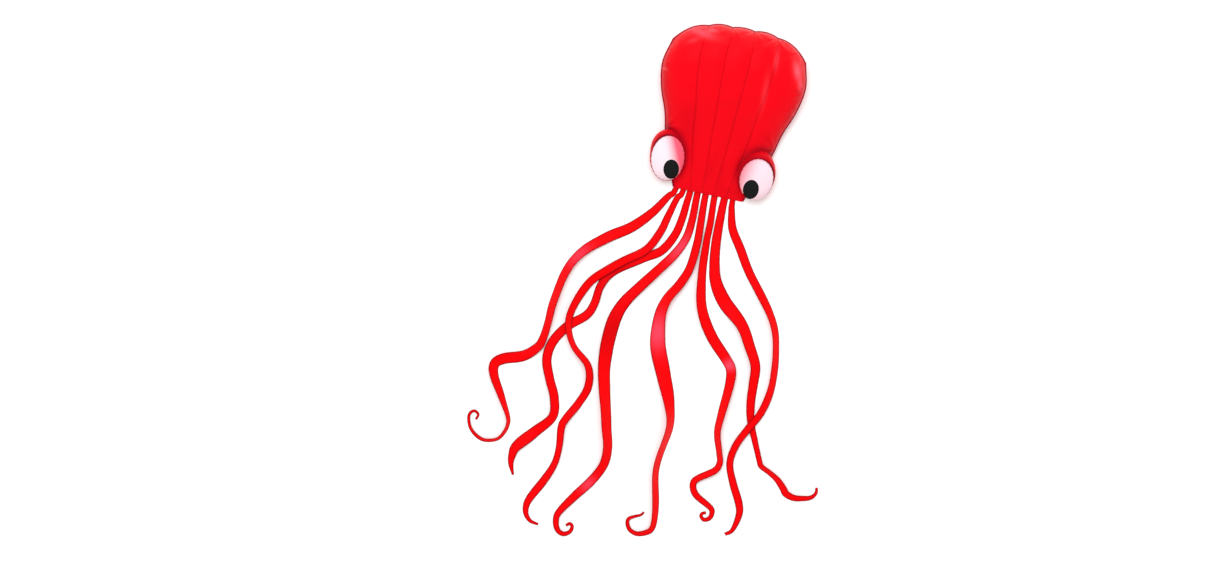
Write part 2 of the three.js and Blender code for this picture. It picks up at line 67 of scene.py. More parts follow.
# %% Camera, light and floor
VIEW_CENTRE = (-0.399, -1.009)
VIEW_WIDTH = 6.686
VIEW_TURN = 12.0
LENS = 85.0
SENSOR = 36.0

camera = bpy.data.objects.new("camera", bpy.data.cameras.new("camera"))
scene.collection.objects.link(camera)
camera.data.lens = LENS
camera.data.sensor_width = SENSOR
camera.data.clip_end = 100.0
camera.data.dof.use_dof = False
camera.location = (*VIEW_CENTRE, VIEW_WIDTH * LENS / SENSOR)
camera.rotation_euler = (0, 0, math.radians(VIEW_TURN))
scene.camera = camera

scene.view_settings.view_transform = "Standard"

sky = bpy.data.worlds.new("even sky")
scene.world = sky
sky.use_nodes = True
sky.node_tree.nodes["Background"].inputs["Color"].default_value = (1.0, 1.0, 1.0, 1.0)
sky.node_tree.nodes["Background"].inputs["Strength"].default_value = 0.95


def lamp(name, place, aim, size, power):
    """A square soft lamp of that side length and power, at place, shining towards aim."""
    light = bpy.data.lights.new(name, "AREA")
    light.size = size
    light.energy = power
    thing = bpy.data.objects.new(name, light)
    scene.collection.objects.link(thing)
    thing.location = place
    way = np.array(aim, float) - np.array(place, float)
    across = math.hypot(way[0], way[1])
    thing.rotation_euler = (math.atan2(across, -way[2]), 0, math.atan2(way[1], way[0]) - math.pi / 2)


lamp("key lamp", (-2.0, 2.5, 9.0), (0.0, -0.8, 0.0), 6.0, 420.0)
lamp("nose lamp", (1.0, 5.0, 3.0), (0.0, 0.2, 0.1), 2.0, 60.0)

FLOOR_HALF = 30.0
FLOOR_HEIGHT = -0.0006
floor_mesh = bpy.data.meshes.new("floor")
floor_sides = [(-1, -1), (1, -1), (1, 1), (-1, 1)]
floor_corners = [(x * FLOOR_HALF, y * FLOOR_HALF, FLOOR_HEIGHT) for x, y in floor_sides]
floor_mesh.from_pydata(floor_corners, [], [(0, 1, 2, 3)])
floor = bpy.data.objects.new("floor", floor_mesh)
scene.collection.objects.link(floor)
print("camera height", round(camera.location.z, 2))

# %% [markdown]
# ## Shader arithmetic
#
# A material is a small calculation. Instead of placing its nodes one by one, a value here can be
# added, subtracted and multiplied like a number, and each operation adds the node that does it. One
# method makes every other kind of node: it takes the node's type, its settings and then its sockets.

# %% Shader arithmetic
class Value:
    """A number on its way through a material."""

    def __init__(self, graph, socket):
        self.graph = graph
        self.socket = socket

    def __add__(self, other):
        return self.graph.math("ADD", self, other)

    def __radd__(self, other):
        return self.graph.math("ADD", other, self)

    def __sub__(self, other):
        return self.graph.math("SUBTRACT", self, other)

    def __rsub__(self, other):
        return self.graph.math("SUBTRACT", other, self)

    def __mul__(self, other):
        return self.graph.math("MULTIPLY", self, other)


class Graph:
    """One material's calculation, ending in its Principled shader."""

    def __init__(self, name):
        self.material = bpy.data.materials.new(name)
        self.material.use_nodes = True
        self.tree = self.material.node_tree
        self.shader = self.tree.nodes["Principled BSDF"]

    def feed(self, socket, value):
        if isinstance(value, Value):
            self.tree.links.new(value.socket, socket)
        else:
            socket.default_value = value

    def node(self, kind, settings, sockets, output=0):
        made = self.tree.nodes.new(kind)
        for key, value in settings.items():
            setattr(made, key, value)
        for key, value in sockets.items():
            self.feed(made.inputs[key], value)
        return Value(self, made.outputs[output])

    def math(self, operation, a, b=0.0, clamp=False):
        return self.node("ShaderNodeMath", {"operation": operation, "use_clamp": clamp}, {0: a, 1: b})

    def attribute(self, name):
        return self.node("ShaderNodeAttribute", {"attribute_name": name}, {}, "Fac")

    def uv(self):
        """The place on the flat cloth in metres: across it, and along it."""
        place = self.node("ShaderNodeUVMap", {"uv_map": "cloth"}, {})
        across = self.node("ShaderNodeSeparateXYZ", {}, {0: place}, "X")
        lengthwise = self.node("ShaderNodeSeparateXYZ", {}, {0: place}, "Y")
        return across, lengthwise

    def place(self):
        return self.node("ShaderNodeTexCoord", {}, {}, "Object")

    def noise(self, scale, detail=2.0):
        sockets = {"Vector": self.place(), "Scale": scale, "Detail": detail}
        return self.node("ShaderNodeTexNoise", {}, sockets, "Fac")

    def ramp(self, value, low, high):
        """0 below low, 1 above high, and smooth between them."""
        settings = {"interpolation_type": "SMOOTHSTEP"}
        sockets = {"Value": value, "From Min": low, "From Max": high, "To Min": 0.0, "To Max": 1.0}
        return self.node("ShaderNodeMapRange", settings, sockets)

    def blend(self, share, a, b):
        """A colour between colours a and b."""
        return self.node("ShaderNodeMix", {"data_type": "RGBA"}, {0: share, 6: a, 7: b}, 2)

    def bump(self, height, strength, distance):
        return self.node("ShaderNodeBump", {}, {"Strength": strength, "Distance": distance, "Height": height})

    def finish(self, sockets, constants):
        for key, value in {**constants, **sockets}.items():
            self.feed(self.shader.inputs[key], value)
        return self.material


def rgba(red, green, blue):
    return (red, green, blue, 1.0)


print("shader helpers ready")

# %% [markdown]
# ## Cloth
#
# All the cloth is a thin plain weave with a ripstop grid: every few millimetres a thicker thread
# runs both ways and stops a tear. Near a sewn edge there is a folded hem, where two layers look
# deeper in colour, and a line of stitches. Every piece of cloth carries its place on the flat cut,
# its distance from the nearest edge, and two shares of painted light: a painted highlight where it
# turns to the light, and painted shade where it lies in shade, as in a fold or a seam's valley.
#
# The weave isn't made of real threads, since there would be millions of them. A bump follows two
# waves instead, one across and one along.

# %% Cloth materials
THREAD = 0.0008
RIPSTOP = 0.006
STITCH = 0.0045
HEM = 0.006
NET_HOLE = 0.003
TURN = 2 * math.pi


def cloth(name, colour, deep, pale, roughness, sheen=0.12, hem_depth=0.55, specular=0.3,
          gloss=(1.0, 1.0, 1.0, 1.0)):
    """Weave, ripstop, hem and stitches: height = threads + ripstop + stitches + slow creases."""
    g = Graph(name)
    across, lengthwise = g.uv()
    edge = g.attribute("edge")
    threads = g.math("SINE", across * (TURN / THREAD)) * g.math("SINE", lengthwise * (TURN / THREAD))
    grid_across = g.ramp(g.math("PINGPONG", across, RIPSTOP / 2), 0.0, 0.0006)
    grid_along = g.ramp(g.math("PINGPONG", lengthwise, RIPSTOP / 2), 0.0, 0.0006)
    ripstop = 1.0 - grid_across * grid_along
    in_row = 1.0 - g.ramp(g.math("ABSOLUTE", edge - HEM * 0.8), 0.0003, 0.0008)
    dash = g.ramp(g.math("PINGPONG", lengthwise + across, STITCH / 2), 0.0003, 0.0009)
    stitches = in_row * dash
    hem = 1.0 - g.ramp(edge, HEM * 0.85, HEM * 1.1)
    slow = g.noise(5.0, 3.0)
    fine = g.noise(70.0, 2.0)

    # Painted light: the 'deep' share is painted shade and darkens the colour towards the deep one, together
    # with the hem's double cloth and a slow random tone; the 'pale' share is a painted highlight.
    depth = g.math("ADD", g.attribute("deep"), hem * hem_depth, clamp=True)
    shade = g.math("ADD", depth, (slow - 0.5) * 0.16 + ripstop * 0.04, clamp=True)
    base = g.blend(shade, colour, deep)
    base = g.blend(g.attribute("pale"), base, pale)
    rough = roughness + (fine - 0.5) * 0.14 + hem * 0.06
    height = threads * 0.12 + ripstop * 0.35 - stitches * 0.8 + hem * 0.5 + fine * 0.5
    normal = g.bump(height, 0.35, 0.0006)
    return g.finish(
        {"Base Color": base, "Roughness": rough, "Normal": normal},
        {"Sheen Weight": sheen, "Sheen Roughness": 0.45, "Sheen Tint": gloss,
         "Specular IOR Level": specular, "Specular Tint": gloss},
    )


# Each cloth has its colour, a deep colour and a pale colour. The deep colour is what painted shade darkens
# towards, and the hem and a slow random tone use it too. The pale colour is a painted highlight; on the eye
# white it is the painted red reflection of the head.
HEAD_RED = rgba(0.74, 0.0010, 0.0062)
HEAD_DEEP = rgba(0.30, 0.0003, 0.006)
HEAD_PALE = rgba(0.88, 0.14, 0.19)
RIBBON_RED = rgba(0.78, 0.0, 0.0003)
RIBBON_DEEP = rgba(0.26, 0.0, 0.001)
RIBBON_PALE = rgba(0.88, 0.07, 0.13)
RED_GLOSS = rgba(1.0, 0.10, 0.14)
WHITE = rgba(0.82, 0.70, 0.76)
WHITE_DEEP = rgba(0.55, 0.38, 0.44)
REFLECTED_RED = rgba(0.80, 0.10, 0.16)

BLACK = rgba(0.006, 0.0065, 0.0065)
BLACK_DEEP = rgba(0.003, 0.003, 0.003)
BLACK_PALE = rgba(0.03, 0.03, 0.03)
TAPE_RED = rgba(0.30, 0.001, 0.014)
TAPE_DEEP = rgba(0.15, 0.0, 0.008)
TAPE_PALE = rgba(0.5, 0.03, 0.05)

head_cloth = cloth("head cloth", HEAD_RED, HEAD_DEEP, HEAD_PALE, 0.42, hem_depth=0.10, gloss=RED_GLOSS)
ribbon_cloth = cloth("ribbon cloth", RIBBON_RED, RIBBON_DEEP, RIBBON_PALE, 0.45,
                     hem_depth=0.85, gloss=RED_GLOSS)
white_cloth = cloth("eye white cloth", WHITE, WHITE_DEEP, REFLECTED_RED, 0.55, 0.05, 0.3, 0.1)
pupil_cloth = cloth("pupil cloth", BLACK, BLACK_DEEP, BLACK_PALE, 0.6, sheen=0.0, specular=0.08)
tape_cloth = cloth("binding tape", TAPE_RED, TAPE_DEEP, TAPE_PALE, 0.6, 0.05, 0.2, 0.1, RED_GLOSS)


def net(name):
    """A knitted net: thread where either wave is high, and a painted dark opening where both are low."""
    g = Graph(name)
    across, lengthwise = g.uv()
    lines_across = g.ramp(g.math("PINGPONG", across + lengthwise, NET_HOLE / 2), 0.0003, 0.0007)
    lines_along = g.ramp(g.math("PINGPONG", across - lengthwise, NET_HOLE / 2), 0.0003, 0.0007)
    opening = lines_across * lines_along
    slow = g.noise(9.0)
    thread_colour = g.blend(slow, rgba(0.42, 0.004, 0.012), rgba(0.30, 0.002, 0.01))
    # Painted shade: the openings are painted near black, for the dark inside of the head seen through them.
    base = g.blend(opening, thread_colour, rgba(0.03, 0.0, 0.001))
    normal = g.bump(1.0 - opening, 0.6, 0.0006)
    rough = 0.6 + opening * 0.3
    return g.finish({"Base Color": base, "Roughness": rough, "Normal": normal}, {"Specular IOR Level": 0.2})


def webbing(name):
    """Narrow woven loop: ribs across it, on the piece's own coordinates."""
    g = Graph(name)
    waves = g.node("ShaderNodeTexWave", {"wave_type": "BANDS", "bands_direction": "Y"},
                   {"Vector": g.place(), "Scale": 320.0, "Distortion": 0.6}, "Fac")
    base = g.blend(waves, rgba(0.008, 0.008, 0.009), rgba(0.035, 0.035, 0.038))
    sockets = {"Base Color": base, "Roughness": 0.6 + waves * 0.2, "Normal": g.bump(waves, 0.5, 0.0004)}
    return g.finish(sockets, {"Specular IOR Level": 0.3})


def paint_floor():
    g = Graph("pale floor")
    slow = g.noise(0.8)
    base = g.blend(slow, rgba(0.93, 0.93, 0.93), rgba(0.95, 0.95, 0.95))
    return g.finish({"Base Color": base}, {"Roughness": 0.8, "Specular IOR Level": 0.2})


net_cloth = net("intake net")
webbing_cloth = webbing("bridle webbing")
floor_mesh.materials.append(paint_floor())
print("materials:", len(bpy.data.materials))

# %% [markdown]
# ## Numbers and meshes
#
# `along` draws a smooth line through values at even stations: between two stations it is the cubic
# that has, at each of them, half the difference of the two neighbours as its slope.
#
# `sew` turns a grid of points into a closed piece of cloth. It moves a second layer inwards by the
# thickness, along the normal of the grid, and closes the rim. The normal is the cross product of
# the grid's two directions. Points that fall together, as at a pole, are joined, and a triangle
# that shrinks to nothing there is dropped.

# %% Numbers and meshes
WELD = 2e-7


def smooth(x):
    """0 up to 0, 1 from 1 on, and 3x^2 - 2x^3 between."""
    x = np.clip(x, 0.0, 1.0)
    return x * x * (3 - 2 * x)


def mix(a, b, share):
    return a + (b - a) * share


def along(values, share):
    """A smooth line through values at even stations, read at shares from 0 to 1."""
    v = np.asarray(values, float)
    v = np.concatenate([[2 * v[0] - v[1]], v, [2 * v[-1] - v[-2]]])
    place = np.clip(share, 0.0, 1.0) * (len(v) - 3)
    i = np.minimum(np.floor(place).astype(int), len(v) - 4)
    t = place - i
    before, here, there, after = v[i], v[i + 1], v[i + 2], v[i + 3]
    slope_in = (there - before) / 2
    slope_out = (after - here) / 2
    rise = here - there
    squared = 3 * rise + 2 * slope_in + slope_out
    cubed = 2 * rise + slope_in + slope_out
    return here + slope_in * t - squared * t**2 + cubed * t**3


def unit(v):
    return v / np.maximum(np.linalg.norm(v, axis=-1, keepdims=True), 1e-12)


def grid_normal(grid, round_first=False):
    """The cross product of the grid's directions: first along its rows, then along its columns."""
    if round_first:
        d_row = np.roll(grid, -1, 0) - np.roll(grid, 1, 0)
    else:
        d_row = np.gradient(grid, axis=0)
    return unit(np.cross(d_row, np.gradient(grid, axis=1)))


def quads(rows, columns, round_first=False):
    """Corner numbers of every square of a grid, turning the way that faces its normal outwards."""
    i = np.arange(rows if round_first else rows - 1)[:, None]
    j = np.arange(columns - 1)[None, :]
    a = i * columns + j
    b = ((i + 1) % rows) * columns + j
    return np.stack([a, b, b + 1, a + 1], -1).reshape(-1, 4)


def sew(name, grid, thickness, material, uv=None, edge=None, pale=None, deep=None, round_first=False,
        keep=None, normal=None):
    """A closed piece of cloth on a grid of points (rows, columns, 3), facing its normal."""
    if uv is None:
        uv, edge = flat_places(grid), seam_distance(grid)
    rows, columns = grid.shape[:2]
    normal = grid_normal(grid, round_first) if normal is None else normal
    points = np.concatenate([grid.reshape(-1, 3), (grid - normal * thickness).reshape(-1, 3)])
    layer = rows * columns
    top = quads(rows, columns, round_first)
    if keep is not None:
        top = top[keep.reshape(-1)[top].any(1)]
    sides = np.stack([top, np.roll(top, -1, 1)], -1).reshape(-1, 2)
    code = sides[:, 0].astype(np.int64) * layer + sides[:, 1]
    back = sides[:, 1].astype(np.int64) * layer + sides[:, 0]
    rim = sides[~np.isin(code, back)]
    wall = np.stack([rim[:, 1], rim[:, 0], rim[:, 0] + layer, rim[:, 1] + layer], -1)
    faces = np.concatenate([top, top[:, ::-1] + layer, wall])
    triangles = np.concatenate([faces[:, [0, 1, 2]], faces[:, [0, 2, 3]]])
    return weave(name, points, triangles, material, [uv, edge, pale, deep], 2)


def weave(name, points, triangles, material, facts, layers):
    """A mesh object from points and triangles, with its places on the flat cloth and its shares of painted
    highlight and painted shade.
    """
    whole = np.round(points / WELD).astype(np.int64)
    _, first, number = np.unique(whole, axis=0, return_index=True, return_inverse=True)
    triangles = number.reshape(-1)[triangles]
    a, b, c = triangles.T
    used, triangles = np.unique(triangles[(a != b) & (b != c) & (c != a)], return_inverse=True)
    triangles, first = triangles.reshape(-1, 3), first[used]
    mesh = bpy.data.meshes.new(name)
    mesh.from_pydata(points[first].tolist(), [], triangles.tolist())
    uv, edge, pale, deep = facts
    flat = np.concatenate([uv.reshape(-1, 2)] * layers)[first]
    layer = mesh.uv_layers.new(name="cloth")
    layer.data.foreach_set("uv", flat[triangles.reshape(-1)].astype(np.float32).reshape(-1))
    # pale is the share of painted highlight, deep the share of painted shade.
    for label, value in (("edge", edge), ("pale", pale), ("deep", deep)):
        start = 1.0 if label == "edge" else 0.0
        value = np.full(len(points) // layers, start) if value is None else value.reshape(-1)
        attribute = mesh.attributes.new(label, "FLOAT", "POINT")
        attribute.data.foreach_set("value", np.concatenate([value] * layers)[first].astype(np.float32))
    mesh.polygons.foreach_set("use_smooth", np.ones(len(mesh.polygons), bool))
    mesh.materials.append(material)
    mesh.update()
    thing = bpy.data.objects.new(name, mesh)
    scene.collection.objects.link(thing)
    return thing


def lengths(grid, axis):
    """Distance travelled over the grid along one axis, from its start."""
    step = np.linalg.norm(np.diff(grid, axis=axis), axis=-1)
    travelled = np.cumsum(step, axis=axis)
    start = np.zeros_like(np.take(travelled, [0], axis=axis))
    return np.concatenate([start, travelled], axis=axis)


def flat_places(grid):
    """Distance over the cloth, across it and along it."""
    return np.stack([lengths(grid, 1), lengths(grid, 0)], -1)


def seam_distance(grid):
    """Distance over the cloth to the nearer of its two long edges and its two ends."""
    across, lengthwise = lengths(grid, 1), lengths(grid, 0)
    return np.minimum.reduce([across, across[:, -1:] - across, lengthwise, lengthwise[-1:] - lengthwise])


def sweep(name, path, outward, section, material):
    """A closed bar: the section's (out, up) corners carried along the path, with flat ends."""
    up = np.array([0.0, 0.0, 1.0])
    out, rise = section[:, 0], section[:, 1]
    rings = path[:, None, :] + outward[:, None, :] * out[None, :, None] + up * rise[None, :, None]
    n, k = rings.shape[:2]
    travelled = lengths(path, 0)
    around = np.concatenate([[0.0], np.cumsum(np.linalg.norm(np.diff(section, axis=0), axis=1))])
    uv = np.stack(np.broadcast_arrays(around[None, :], travelled[:, None]), -1)
    i = np.arange(n - 1)[:, None]
    j = np.arange(k)[None, :]
    here, there = i * k + j, i * k + (j + 1) % k
    faces = np.stack([here, there, there + k, here + k], -1).reshape(-1, 4)
    triangles = np.concatenate([faces[:, [0, 1, 2]], faces[:, [0, 2, 3]]])
    fan = np.arange(1, k - 1)
    start = np.stack([np.zeros_like(fan), fan + 1, fan], -1)
    end = np.stack([np.zeros_like(fan), fan, fan + 1], -1) + (n - 1) * k
    triangles = np.concatenate([triangles, start, end])
    return weave(name, rings.reshape(-1, 3), triangles, material, [uv, None, None, None], 1)


def fixed(thing, slot, *nodes, cut=None):
    """A piece rides on the head and stands for nodes, which are hidden. The slot and the cut are not used."""
    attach(thing, "head")
    if nodes:
        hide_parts(*nodes)


print("mesh helpers ready")

# %% [markdown]
# ## The shape of the head
#
# The head is two cloths, a back and a belly, sewn together round their outline and held apart by
# four ribs. `q` is the place across, -1 at the left edge and 1 at the right; `t` is the place along
# it, 0 at the trailing edge and 1 at the nose. The half width follows seven even stations. The
# nose is a superellipse corner, and dips a little where a rib ends, as air pushes the cloth out
# between the ribs and a rib holds it back.
#
# The seam between the two cloths climbs by a squared sine from the tail to the nose. The back rises
# above it by a crown that grows with t^0.8, rounds off as sqrt(1 - t^6) at the nose and as
# sqrt(1 - |q|^2.4) at the sides. Between two ribs it swells by a further parabola.
#
# Thin cloth that is pulled towards a stitch makes a fan of creases there. Each pucker point adds
# depth * cos(folds * angle) * exp(-(distance / reach)^2), which starts a little way off the stitch.

# %% The shape of the head
TRAILING_Y = -0.440
HEAD_LENGTH = 0.912
SHOULDER_LENGTH = 0.795
HALF_WIDTHS = [0.190, 0.238, 0.289, 0.321, 0.369, 0.390, 0.362]
NOSE_SHIFT = 0.003
NOSE_TWIST = 0.010
FRONT_FULLNESS = 3.4
RIB_AT = [-0.52, -0.17, 0.17, 0.52]
CELL_EDGES = np.array([-1.0, *RIB_AT, 1.0])
CELLS = ["left_outer", "left_inner", "centre", "right_inner", "right_outer"]
SCALLOP = 0.009
SEAM_LOW = 0.004
SEAM_HIGH = 0.092
EDGE_CROWN = 0.0025
CROWN = 0.128
BILLOW = 0.011
RECESS = 0.017
CLOTH = 0.0004
RIB_START = 1 / 14
INTAKE_START = 1 - 1 / 14
# About the greatest value of t^0.8 * sqrt(1 - t^6), so that CROWN is about the greatest height.
CROWN_PEAK = 0.71


def place_in_cell(q):
    """-1 at a cell's left edge and 1 at its right edge."""
    cell = np.clip(np.searchsorted(CELL_EDGES, q, side="left") - 1, 0, len(CELLS) - 1)
    left, right = CELL_EDGES[cell], CELL_EDGES[cell + 1]
    return 2 * (q - left) / (right - left) - 1


def plan(q, t):
    """x = q * half width(t) + shift; y = tail + t * (length - corner * |q|^3.4 - dip at the ribs + twist)."""
    swell = SCALLOP * (1 - place_in_cell(q) ** 2)
    corner = (HEAD_LENGTH - SHOULDER_LENGTH) * np.abs(q) ** FRONT_FULLNESS
    chord = HEAD_LENGTH - SCALLOP - corner + swell + NOSE_TWIST * q
    return q * along(HALF_WIDTHS, t) + NOSE_SHIFT * t, TRAILING_Y + t * chord


def seam_height(t):
    return mix(SEAM_LOW, SEAM_HIGH, np.sin(math.pi / 2 * t) ** 2)


def nose_round(t):
    return np.sqrt(np.maximum(0.0, 1 - t**6))


def crown(t):
    return EDGE_CROWN * nose_round(t) + CROWN / CROWN_PEAK * t**0.8 * nose_round(t)


# Where a stitch pulls the cloth: x, y, the way its creases run (degrees from +X), depth, folds, reach.
PUCKERS = np.array([
    (-0.192, 0.452, -95, 0.0026, 9, 0.085), (-0.063, 0.472, -92, 0.0024, 9, 0.08),
    (0.063, 0.472, -88, 0.0026, 10, 0.085), (0.192, 0.452, -83, 0.0034, 9, 0.11),
    (-0.33, 0.395, -55, 0.0018, 8, 0.08), (0.33, 0.395, -125, 0.0022, 8, 0.09),
    (-0.398, 0.2, 0, 0.0016, 8, 0.07), (0.398, 0.19, 180, 0.0022, 9, 0.085),
    (0.392, 0.06, 178, 0.0018, 8, 0.07), (-0.37, 0.04, 5, 0.0012, 8, 0.06),
    (-0.3, -0.13, -8, 0.003, 7, 0.11), (0.3, -0.13, 188, 0.0034, 7, 0.12),
    (-0.17, -0.41, 60, 0.0022, 7, 0.09), (0.165, -0.41, 120, 0.0026, 7, 0.09),
    (-0.09, -0.438, 85, 0.0012, 7, 0.07), (0.01, -0.438, 92, 0.0012, 8, 0.08),
    (0.095, -0.438, 97, 0.0012, 7, 0.07),
])
# Waves of slack cloth: turns per metre of x and of y, where the wave starts, height.
SLACK_WAVES = [
    (2.3, 1.1, 0.6, 0.0016), (1.2, -3.4, 2.1, 0.0012), (5.9, 4.1, 4.0, 0.0006), (3.1, -8.3, 0.0, 0.0005),
]


def creases(x, y):
    """The sum of every pucker's fan of creases at places x, y."""
    px, py, way, depth, folds, reach = (column[:, None, None] for column in PUCKERS.T)
    dx, dy = x[None] - px, y[None] - py
    far = np.hypot(dx, dy)
    angle = np.arctan2(dy, dx) - np.radians(way)
    fan = np.cos(folds * angle + 5 * px) * np.exp(-((far / reach) ** 2)) * smooth(far / 0.03)
    facing = smooth((np.cos(angle) + 0.2) / 0.7)
    return (depth * fan * facing).sum(0)


def slack(x, y):
    """Long shallow waves where the cloth isn't quite full: a few crossed sines of 0.4 to 0.1 m."""
    return sum(np.sin(TURN * (x * by_x + y * by_y) + start) * high for by_x, by_y, start, high in SLACK_WAVES)


def back_height(q, t, x, y):
    across = np.sqrt(np.maximum(0.0, 1 - np.abs(q) ** 2.4))
    swell = BILLOW * (1 - place_in_cell(q) ** 2) * nose_round(t) * smooth(t / 0.3)
    full = across * nose_round(t)
    loose = (creases(x, y) + slack(x, y) * smooth(t / 0.2)) * smooth(full / 0.35)
    return seam_height(t) + crown(t) * across + swell + loose


def belly_height(q, t, x, y):
    """The belly is flat on the floor where it is full, and drawn up at the ribs."""
    fullness = np.sqrt(np.maximum(0.0, 1 - q**4)) * np.sqrt(np.maximum(0.0, 1 - t**8))
    place = place_in_cell(q)
    outer = np.abs(q) > RIB_AT[3]
    near_rib = np.where(outer, np.minimum(0.0, np.sign(q) * place) ** 2, place**2)
    drawn_up = RECESS * (2 * near_rib - 1) * smooth(t / 0.25) * fullness
    height = seam_height(t) * (1 - fullness) + drawn_up
    loose = creases(x, y) * smooth(height / 0.02) * smooth((1 - fullness) * 3)
    return np.maximum(0.0002, height + loose * 0.6)


print("widest place", 2 * float(along(HALF_WIDTHS, np.linspace(0, 1, 200)).max()))

# %% [markdown]
# ## The eyes' shape
#
# An eye is a ball of unit size stretched to three radii, then turned a little. A place on it is a
# level along the way the eye looks, 1 in front and -1 behind, and a turn about that way:
# point = level * facing + sqrt(1 - level^2) * (cos(turn) * sideways + sin(turn) * upward).
# The red lid is the bowl behind the rim and the white is the bowl before it.

# %% The eyes' shape
EYE_RADII = np.array([0.095, 0.135, 0.064])
EYE_RIM = 0.29
# The eyes differ a little in place, turn and the way they face, as if the head lay slightly twisted.
EYES = {
    "left": dict(side=-1, centre=(-0.261, -0.285, 0.066), turn=10, facing=(0.10, -0.36, 0.93),
                 pupil=(0.245, -0.55), bulge=(-0.40, 0.85, 0.25)),
    "right": dict(side=1, centre=(0.236, -0.290, 0.066), turn=2, facing=(0.04, -0.53, 0.85),
                  pupil=(-0.21, -0.6), bulge=(0.80, 0.60, 0.25)),
}


def turn_of(eye):
    return math.cos(math.radians(eye["turn"])), math.sin(math.radians(eye["turn"]))


def on_eye(eye, ball, extra):
    """ball holds places on the unit ball; extra is added to the eye's radii."""
    stretched = ball * (EYE_RADII + extra[..., None])
    c, s = turn_of(eye)
    x, y, z = np.moveaxis(stretched, -1, 0)
    return np.array(eye["centre"]) + np.stack([x * c - y * s, x * s + y * c, z], -1)


def eye_axes(eye):
    facing = unit(np.array(eye["facing"]))
    sideways = unit(np.array([1.0, 0, 0]) - facing * facing[0])
    return facing, sideways, np.cross(facing, sideways)


def eye_ball(eye, level, turn):
    facing, sideways, upward = eye_axes(eye)
    radius = np.sqrt(np.maximum(0.0, 1 - level**2))[..., None]
    outwards = np.cos(turn)[..., None] * sideways + np.sin(turn)[..., None] * upward
    return level[..., None] * facing + radius * outwards


def inside_eye(points):
    """Where each point is in the nearer eye: 0 is its centre, 1 its surface, and more is outside."""
    depth = []
    for eye in EYES.values():
        offset = points - np.array(eye["centre"])
        c, s = turn_of(eye)
        x = offset[..., 0] * c + offset[..., 1] * s
        y = -offset[..., 0] * s + offset[..., 1] * c
        z = offset[..., 2]
        depth.append(np.sqrt((x / EYE_RADII[0]) ** 2 + (y / EYE_RADII[1]) ** 2 + (z / EYE_RADII[2]) ** 2))
    return np.minimum(*depth)


print("eye centres", [eye["centre"] for eye in EYES.values()])

# %% [markdown]
# ## The back and belly panels
#
# Each cell of the head has its own back panel and belly panel, so a seam runs over every rib. The
# grid is finer towards the outline and the nose, where the surface turns down steeply: even steps
# would leave corners there. Cloth that would lie inside an eye is left out.
#
# Painted shade darkens the cloth in the valley of a seam, beside the eyes and along the outline.

# %% The back and belly panels
BACK_ROWS = 190
MOUTH_ROWS = 120
CELL_COLUMNS = 40
# Cloth goes this far into an eye, and is left out deeper down: 1 is the eye's surface.
PANEL_INTO_EYE = 0.96


def spread(low, high, count):
    """Places from low to high, closer together at the head's outline."""
    share = np.linspace(0, 1, count)
    if abs(low) == 1:
        share = 1 - np.sin(math.pi / 2 * (1 - share))
    if abs(high) == 1:
        share = np.sin(math.pi / 2 * share)
    return mix(low, high, share)


# Painted highlights where the back turns to the light, and painted shade where it sinks into a
# fold: x, y, size across, size along, turn, strength.
PAINTED_HIGHLIGHT_SPOTS = np.array([
    (-0.215, 0.395, 0.07, 0.022, -10, 0.42), (-0.165, 0.42, 0.03, 0.012, 8, 0.4),
    (-0.255, 0.345, 0.035, 0.014, 30, 0.16), (0.33, 0.3, 0.02, 0.05, 22, 0.62),
    (0.362, 0.23, 0.012, 0.03, 14, 0.4), (0.205, 0.33, 0.012, 0.05, 4, 0.2),
    (0.18, 0.15, 0.014, 0.09, 2, 0.12), (-0.375, 0.17, 0.016, 0.007, -20, 0.35),
    (0.376, 0.08, 0.018, 0.007, 20, 0.35), (0.368, 0.02, 0.016, 0.006, 15, 0.25),
])
PAINTED_SHADE_SPOTS = np.array([
    (-0.02, -0.3, 0.022, 0.09, -8, 0.16), (0.05, -0.34, 0.018, 0.08, 4, 0.14),
    (0.075, -0.1, 0.02, 0.06, 18, 0.08), (-0.195, -0.08, 0.06, 0.12, 4, 0.22),
    (0.235, -0.12, 0.045, 0.09, -18, 0.18), (-0.085, 0.24, 0.007, 0.12, -2, 0.14),
    (0.175, 0.33, 0.01, 0.07, -4, 0.12), (0.12, -0.405, 0.06, 0.02, 0, 0.16),
    (-0.12, 0.36, 0.06, 0.01, -14, 0.08), (0.01, 0.05, 0.12, 0.012, 12, 0.05),
])


def oval_spots(x, y, spots):
    """A sum of soft oval spots."""
    px, py, wide, high, turn, strength = (column[:, None, None] for column in spots.T)
    c, s = np.cos(np.radians(turn)), np.sin(np.radians(turn))
    dx, dy = x[None] - px, y[None] - py
    a, b = (dx * c + dy * s) / wide, (dy * c - dx * s) / high
    return np.clip((strength * np.exp(-(a**2) - b**2)).sum(0), 0, 1)


# Painted shade: darker beside the eyes, in the valleys by the ribs, along the sides and at the nose, and in
# the listed folds.
def painted_shade_of(grid, q, t):
    by_eye = np.exp(-((inside_eye(grid) - 1) / 0.26) ** 2) * 0.8
    by_rib = np.exp(-(((1 - np.abs(place_in_cell(q))) / 0.10) ** 2)) * 0.05
    outline = np.exp(-(((1 - np.abs(q)) / 0.08) ** 2)) * 0.38 + np.exp(-(((1 - t) / 0.012) ** 2)) * 0.40
    folds = oval_spots(grid[..., 0], grid[..., 1], PAINTED_SHADE_SPOTS)
    return np.clip(by_eye + by_rib + outline + folds, 0, 1)


